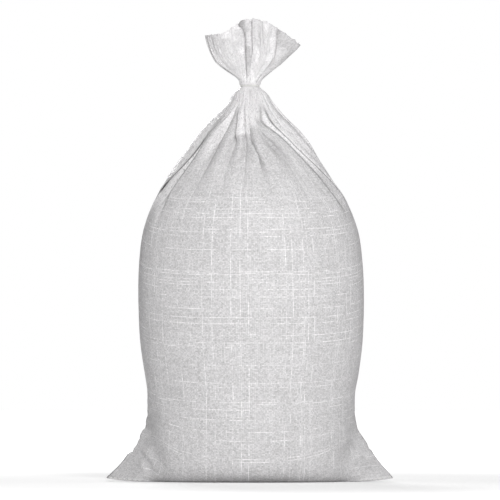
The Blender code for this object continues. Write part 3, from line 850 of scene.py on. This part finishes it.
def grid_object(name, grid, across, along, values, material):
    """A mesh of a grid of rings, with its fabric coordinates as a UV map and values at its points."""
    rows, columns = grid.shape[:2]
    number = np.arange(rows * columns).reshape(rows, columns)
    right = np.roll(number, -1, axis=1)
    faces = np.stack([number[:-1], right[:-1], right[1:], number[1:]], axis=2).reshape(-1, 4)
    made = mesh_object(name, grid.reshape(-1, 3).tolist(), faces.tolist(), material)
    fabric = np.stack([across, along], axis=2)
    beside = np.roll(fabric, -1, axis=1)
    beside[:, -1, 0] += CLOTH_GIRTH
    corners = np.stack([fabric[:-1], beside[:-1], beside[1:], fabric[1:]], axis=2)
    uv = made.data.uv_layers.new(name="fabric")
    uv.uv.foreach_set("vector", corners.reshape(-1))
    for key, value in values.items():
        attribute = made.data.attributes.new(key, "FLOAT", "POINT")
        attribute.data.foreach_set("value", value.reshape(-1))
    return made


def make_sack(material, thread):
    """The sack's cloth with its inner face, shade and the rice behind it, and the seam's stitches."""
    cloth = Cloth()
    table = cloth_points(cloth)
    grid, shade, crisp = table[:, :, :3], table[:, :, 3], table[:, :, 4]
    across, along = fabric_coordinates(grid, cloth, crisp)
    smooth, smooth_along = grid, along
    pressed = crease_depth(grid, EDGE_CREASES, EDGE_CREASE_START)
    pressed += crease_depth(grid, SOFT_CREASES, 0.0)
    grid, valleys = crumple(grid, cloth, along, pressed)
    height = grid[:, :, 2]
    shade = np.maximum(shade, np.clip(pressed / DARK_CREASE, 0.0, 1.0) ** 2 * CREASE_SHADE)
    # Painted shade in the narrow valleys below the tie
    shade = np.maximum(shade, NECK_SHADE * valleys)
    # Painted shade on the ruffle, left out in patches that stand for crinkles catching the light
    # (painted highlights)
    painted_highlights = ramp(wrinkles(across / CLOTH_GIRTH, along, *HIGHLIGHT_PATCHES), *PATCH_EDGE)
    shade += RUFFLE_SHADE * (1 - painted_highlights) * ramp(height, *RUFFLE_SHADE_FROM) * (1 - shade)
    on_ear = ramp(np.abs(cloth.seam_place), *EAR_SHADE_FROM) * (1 - ramp(height, *EAR_SHADE_TO))
    shade = np.maximum(shade, np.where(cloth.seam_place < 0, *EAR_SHADE) * on_ear)
    shade = np.maximum(shade, FLOOR_SHADE * (1 - ramp(height, *FLOOR_SHADE_TO)))
    fill = cloth.fill_height[cloth.panel]
    softness = cloth.fill_softness[cloth.panel]
    line = np.broadcast_to(cloth.turn / 360, height.shape)
    wave = FILL_EDGE_WAVE[0] + FILL_EDGE_WAVE[1] * softness
    level = height + wave * wrinkles(line, along, *FILL_EDGE)
    backing = 1 - ease((level - fill) / softness + 0.5)
    inner = np.array(pocket_rows(grid))
    beside = -1 - np.minimum(np.arange(len(inner)), round(RUFFLE_ROWS * POCKET_SHARE) - 1)
    grid = np.concatenate([grid, inner])
    across = np.concatenate([across, across[beside]])
    along = np.concatenate([along, along[beside]])
    backing = np.concatenate([backing, np.zeros(inner.shape[:2])])
    shade = np.concatenate([shade, np.full(inner.shape[:2], POCKET_SHADE)])
    values = {"backing": backing, "shade": shade}
    sack = grid_object("sack_cloth", grid, across, along, values, material)
    return sack, make_stitches(smooth, cloth, smooth_along, thread)


def tube_mesh(paths, radius, sides=6):
    """Vertices and faces of round rods along paths of points, closed at both ends."""
    points, faces = [], []
    for path in paths:
        path = np.asarray(path, float)
        ahead = np.gradient(path, axis=0)
        ahead /= np.maximum(np.linalg.norm(ahead, axis=1, keepdims=True), 1e-9)
        side = np.cross(ahead, [0.31, 0.17, 0.94])
        side /= np.maximum(np.linalg.norm(side, axis=1, keepdims=True), 1e-9)
        other = np.cross(ahead, side)
        first = len(points)
        for centre, one, two in zip(path, side, other):
            for angle in np.linspace(0.0, 2 * math.pi, sides, endpoint=False):
                points.append(centre + radius * (math.cos(angle) * one + math.sin(angle) * two))
        for ring in range(len(path) - 1):
            for number in range(sides):
                low, high = first + ring * sides, first + (ring + 1) * sides
                after = (number + 1) % sides
                faces.append((low + number, high + number, high + after, low + after))
        last = len(points) - sides
        faces.append(tuple(first + number for number in range(sides)))
        faces.append(tuple(last + sides - 1 - number for number in range(sides)))
    return points, faces


def rod_object(name, paths, radius, material, sides=6):
    points, faces = tube_mesh(paths, radius, sides)
    return mesh_object(name, [tuple(point) for point in points], faces, material)


def make_twine(material):
    """Twisted twine: turns round the neck, a knot at the back and two tails."""
    ring_x = OUTLINE[-2][1] - TWINE_GROOVE + TWINE_RADIUS
    ring_y = OUTLINE[-2][2] - TWINE_GROOVE + TWINE_RADIUS
    strands = []
    for strand in range(2):
        for level in range(TWINE_TURNS):
            turn = np.linspace(180.0, 540.0, 181)
            twist = turn / 360 * TWINE_TWIST * math.pi + strand * math.pi
            x, y = superellipse(turn, ring_x, ring_y)
            size = 1 + STRAND_OUT * np.cos(twist) / np.hypot(x, y)
            z = TIE_HEIGHT + (level - 0.5) * TWINE_STEP * TWINE_RADIUS
            z = z + STRAND_OUT * np.sin(twist) + TWINE_WAVE * np.sin(np.radians(turn * 3))
            strands.append(np.stack([x * size, y * size, z], axis=1))
        for side in (-1.0, 1.0):
            run = np.linspace(0.0, 1.0, 40)
            twist = run * TAIL_TWIST * math.pi + strand * math.pi
            x = side * (TAIL_ACROSS[0] + TAIL_ACROSS[1] * run) + STRAND_OUT * np.cos(twist)
            y = ring_y + KNOT_OUT + TAIL_OUT * run**TAIL_CURVE + STRAND_OUT * np.sin(twist)
            z = TIE_HEIGHT - TAIL_DROP[0] - TAIL_DROP[1] * run**2
            strands.append(np.stack([x, y, z], axis=1))
        turn = np.linspace(0.0, 2 * math.pi, 61)
        for tilt in (KNOT_TILT, -KNOT_TILT):
            loop_x = KNOT_SIZE[0] * np.sin(turn)
            loop_y = ring_y + KNOT_OUT - KNOT_IN + KNOT_SIZE[1] * np.cos(turn + strand)
            loop_z = TIE_HEIGHT + KNOT_SIZE[2] * np.cos(turn) + tilt * loop_x
            strands.append(np.stack([loop_x, loop_y, loop_z], axis=1))
    return rod_object("tie_twine", strands, STRAND_RADIUS, material)


def make_stitches(grid, cloth, along, material):
    """The seam's thread where the ears lift it off the floor: one stitch after another."""
    normals = grid_normals(grid)
    rows = np.arange(6)
    out = HEM_STEP + STITCH_OUT * STITCH_RADIUS
    stitches = []
    for front in (True, False):
        mine = np.flatnonzero((np.cos(np.radians(cloth.turn)) > 0) == front)
        mine = mine[np.argsort(cloth.seam_place[mine])]
        line = []
        for column in mine:
            lowest = grid[rows, column] + normals[rows, column] * out
            up = along[rows, column]
            line.append([np.interp(STITCH_HEIGHT * HEM_HEIGHT, up, values) for values in lowest.T])
        line = np.array(line)
        step = np.linalg.norm(np.diff(line, axis=0), axis=1)
        run = np.concatenate([[0.0], np.cumsum(step)])
        for start in np.arange(FIRST_STITCH, run[-1] - STITCH_LENGTH, STITCH_STEP):
            place = start + np.linspace(0.0, STITCH_LENGTH, 5)
            path = np.stack([np.interp(place, run, values) for values in line.T], axis=1)
            if path[:, 2].min() > STITCH_RADIUS + STITCH_CLEARANCE:
                stitches.append(path)
    return rod_object("seam_stitches", stitches, STITCH_RADIUS, material, 5)


class Nodes:
    """Short calls for building the nodes of a material or a world."""

    def __init__(self, owner, shader="Principled BSDF"):
        self.owner = owner
        owner.use_nodes = True
        self.tree = owner.node_tree
        self.shader = self.tree.nodes[shader]

    def add(self, kind, sockets=(), **settings):
        """A node with its settings, and values or links for its sockets."""
        node = self.tree.nodes.new(kind)
        for key, value in settings.items():
            setattr(node, key, value)
        for key, value in dict(sockets).items():
            self.link(value, node.inputs[key])
        return node

    def link(self, source, socket):
        if isinstance(source, (int, float, tuple)):
            socket.default_value = source
        else:
            self.tree.links.new(source, socket)

    def surface(self, **sockets):
        """Values or links for the shader's sockets, whose names have _ for each space."""
        for name, value in sockets.items():
            self.link(value, self.shader.inputs[name.replace("_", " ")])

    def math(self, operation, *values, clamp=False):
        settings = {"operation": operation, "use_clamp": clamp}
        return self.add("ShaderNodeMath", enumerate(values), **settings).outputs[0]

    def times(self, one, two):
        return self.math("MULTIPLY", one, two)

    def scaled(self, value, factor, base):
        return self.math("MULTIPLY_ADD", value, factor, base)

    def vector(self, x, y, z=0.0):
        return self.add("ShaderNodeCombineXYZ", enumerate((x, y, z))).outputs[0]

    def split(self, source):
        return self.add("ShaderNodeSeparateXYZ", {0: source}).outputs

    def mix(self, share, low, high):
        """low where share is 0, high where it is 1."""
        sockets = {0: share, 2: low, 3: high}
        return self.add("ShaderNodeMix", sockets, data_type="FLOAT").outputs[0]

    def step(self, value, low, high, to_low=0.0, to_high=1.0):
        """value taken smoothly from low..high to to_low..to_high."""
        sockets = enumerate((value, low, high, to_low, to_high))
        node = self.add("ShaderNodeMapRange", sockets, interpolation_type="SMOOTHSTEP")
        return node.outputs[0]

    def random(self, value, seed):
        sockets = {"Vector": self.vector(value, seed)}
        node = self.add("ShaderNodeTexWhiteNoise", sockets, noise_dimensions="2D")
        return node.outputs["Value"]

    def noise(self, vector, scale, detail=2.0, roughness=0.5):
        sockets = {"Vector": vector, "Scale": scale, "Detail": detail, "Roughness": roughness}
        return self.add("ShaderNodeTexNoise", sockets, noise_dimensions="3D").outputs["Fac"]

    def attribute(self, name):
        return self.add("ShaderNodeAttribute", attribute_name=name).outputs["Fac"]

    def place(self):
        return self.add("ShaderNodeTexCoord").outputs["Object"]

    def seen(self):
        """1 where the camera sees it, 0 where it lights other things."""
        return self.add("ShaderNodeLightPath").outputs["Is Camera Ray"]

    def paint(self, level, tint):
        sockets = enumerate(self.times(level, share) for share in tint)
        self.surface(Base_Color=self.add("ShaderNodeCombineColor", sockets).outputs[0])

    def bump(self, height, strength, distance):
        sockets = {"Strength": strength, "Distance": distance, "Height": height}
        self.surface(Normal=self.add("ShaderNodeBump", sockets).outputs[0])


def tape_gaps(n, x, y, z):
    """1 in short gaps between the tapes, which run up the cloth and towards the neck."""
    below = n.math("SUBTRACT", TIE_HEIGHT, z)
    away = n.math("ADD", n.math("ABSOLUTE", below), GAP_SPREAD)
    spread = n.math("DIVIDE", GAP_RATES[0], away)
    place = n.vector(n.times(x, spread), n.times(y, spread), n.times(z, GAP_RATES[1]))
    gaps = n.step(n.noise(place, 1.0, 1.0), *GAP_EDGE)
    return n.times(gaps, n.step(below, *GAPS_FADE, GAPS_IN_RUFFLE, 1.0))


def woven_material():
    """White polypropylene tape, plainly woven, with rice behind it where it is filled."""
    n = Nodes(bpy.data.materials.new("woven_cloth"))
    fabric = n.add("ShaderNodeUVMap", uv_map="fabric").outputs[0]
    place = n.split(n.place())
    u, v, _ = n.split(fabric)
    wobble = n.scaled(n.noise(fabric, WOBBLE_SCALE, 1.0), WOBBLE, -WOBBLE / 2)
    across = n.math("DIVIDE", n.math("ADD", u, wobble), TAPE)
    along = n.math("DIVIDE", n.math("ADD", v, wobble), TAPE)
    warp, weft = n.math("FLOOR", across), n.math("FLOOR", along)
    warp_in, weft_in = n.math("FRACT", across), n.math("FRACT", along)
    parity = n.math("FLOORED_MODULO", n.math("ADD", warp, weft), 2.0)

    def off_middle(share):
        return n.math("ABSOLUTE", n.scaled(share, 2.0, -1.0))

    def ridge(share):
        return n.math("SUBTRACT", 1.0, n.math("POWER", off_middle(share), TAPE_ROUNDNESS))

    warp_up = n.times(ridge(warp_in), n.scaled(ridge(weft_in), 0.5, 0.5))
    weft_up = n.times(ridge(weft_in), n.scaled(ridge(warp_in), 0.5, 0.5))
    weave = n.mix(parity, warp_up, weft_up)

    # Some tapes are brighter for a stretch, and every tape has its own tone
    def bright(tape, share, other, seed):
        chosen = n.step(n.random(tape, seed), *BRIGHT_TAPES)
        pattern = n.vector(n.times(tape, BRIGHT_PATTERN[0]), n.times(other, BRIGHT_PATTERN[1]))
        stretch = n.step(n.noise(pattern, 1.0, 2.0), *BRIGHT_STRETCH)
        narrow = n.step(off_middle(share), *BRIGHT_WIDTH, 1.0, 0.0)
        return n.times(n.times(chosen, narrow), stretch)

    lines = n.math("MAXIMUM", bright(warp, warp_in, v, 6.0), bright(weft, weft_in, u, 2.0))
    lines = n.times(lines, n.step(place[2], *LINES_FADE, 1.0, LINES_IN_SHOULDER))
    tone = n.mix(parity, n.random(warp, 3.0), n.random(weft, 4.0))
    speck, cloud = n.noise(fabric, *SPECK), n.noise(fabric, *CLOUD)
    crossing = n.random(n.scaled(warp, 57.31, weft), 5.0)
    patterns = (tone, TAPE_TONE), (crossing, CROSSING_TONE), (speck, SPECK_TONE), (cloud, CLOUD_TONE)

    backing, shade = n.attribute("backing"), n.attribute("shade")
    level = n.mix(backing, *LEVELS)
    for pattern, amount in patterns:
        level = n.scaled(n.math("SUBTRACT", pattern, 0.5), amount, level)
    level = n.scaled(lines, n.mix(backing, *LINE_TONES), level)
    level = n.scaled(n.math("SUBTRACT", weave, WEAVE_MIDDLE), WEAVE_TONE, level)
    gaps = tape_gaps(n, *place)
    level = n.math("MULTIPLY_ADD", gaps, n.mix(backing, *GAP_TONES), level, clamp=True)
    n.paint(n.times(level, n.scaled(shade, SHADE_TONE, 1.0)), CLOTH_TINT)
    n.surface(Roughness=n.scaled(tone, *CLOTH_ROUGHNESS), Specular_IOR_Level=CLOTH_SPECULAR)

    sockets = {"Vector": fabric, "Scale": GRAIN_SCALE, "Smoothness": GRAIN_SMOOTHNESS}
    grains = n.add("ShaderNodeTexVoronoi", sockets, feature="SMOOTH_F1")
    pressed = n.times(grains.outputs["Distance"], n.mix(backing, *GRAINS_SHOW))
    height = n.scaled(pressed, GRAIN_RELIEF, n.times(weave, WEAVE_RELIEF))
    height = n.math("ADD", height, n.times(speck, SPECK_RELIEF))
    height = n.scaled(n.noise(fabric, *CRINKLE_NOISE), n.mix(backing, *CRINKLE_RELIEFS), height)
    n.bump(height, *CLOTH_BUMP)
    return n.owner


def twine_material():
    """White plastic twine with fine fibres along it."""
    n = Nodes(bpy.data.materials.new("twine"))
    fibre = n.noise(n.place(), *FIBRES)
    n.paint(n.scaled(fibre, FIBRE_TONE, TWINE_LEVEL - FIBRE_TONE / 2), TWINE_TINT)
    n.surface(Roughness=n.scaled(fibre, *TWINE_ROUGHNESS))
    n.bump(fibre, *TWINE_BUMP)
    return n.owner


def floor_material():
    """Pale floor, which glows further out, so that it runs into the white background."""
    n = Nodes(bpy.data.materials.new("pale_floor"))
    length = n.add("ShaderNodeVectorMath", {0: n.place()}, operation="LENGTH").outputs["Value"]
    glow = n.times(n.step(length, *GLOW_RADIUS, NEAR_GLOW, 1.0), n.seen())
    n.surface(Base_Color=FLOOR_COLOUR, Roughness=0.9, Specular_IOR_Level=0.1)
    n.surface(Emission_Color=WHITE, Emission_Strength=glow)
    return n.owner


def make_stage():
    """A wide, plain floor."""
    corners = [(x * FLOOR_SIZE, y * FLOOR_SIZE, 0.0) for x, y in ((-1, -1), (1, -1), (1, 1), (-1, 1))]
    floor = mesh_object("studio_floor", corners, [(0, 1, 2, 3)], floor_material())
    floor.location.z = -FLOOR_DROP


def point(thing, place, aim):
    """Puts a light or a camera at a place, looking at its aim."""
    thing.location = place
    thing.rotation_mode = "QUATERNION"
    thing.rotation_quaternion = (Vector(aim) - Vector(place)).to_track_quat("-Z", "Y")


def make_lights():
    """Soft lights round the sack, and a world that is white only where the camera sees it."""
    for name, place, size, power in LIGHTS:
        data = bpy.data.lights.new(name, "AREA")
        data.shape = "RECTANGLE"
        data.size = data.size_y = size
        data.energy = power
        point(add_object(name, data), place, LIGHT_AIM)
    n = Nodes(bpy.data.worlds.new("studio"), "Background")
    n.surface(Color=WHITE, Strength=n.scaled(n.seen(), 1.0 - AMBIENT, AMBIENT))
    bpy.context.scene.world = n.owner


def make_camera():
    data = bpy.data.cameras.new("camera")
    data.sensor_width = SENSOR
    data.lens = SENSOR * CAMERA_DISTANCE / (FRAME_PIXELS * METRES_PER_PIXEL)
    data.clip_end = FARTHEST_SEEN
    camera = add_object("camera", data)
    point(camera, (0.0, -CAMERA_DISTANCE, CAMERA_HEIGHT), (0.0, 0.0, CENTRE_HEIGHT))
    bpy.context.scene.camera = camera


make_camera()
make_stage()
make_lights()
twine_finish = twine_material()
sack, stitches = make_sack(woven_material(), twine_finish)
twine = make_twine(twine_finish)
for piece, slot in ((sack, "woven_cloth"), (stitches, "twine"), (twine, "twine")):
    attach(piece, "root")
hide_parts("sack")
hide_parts("neck_tie")
bpy.context.scene.view_settings.view_transform = "Standard"
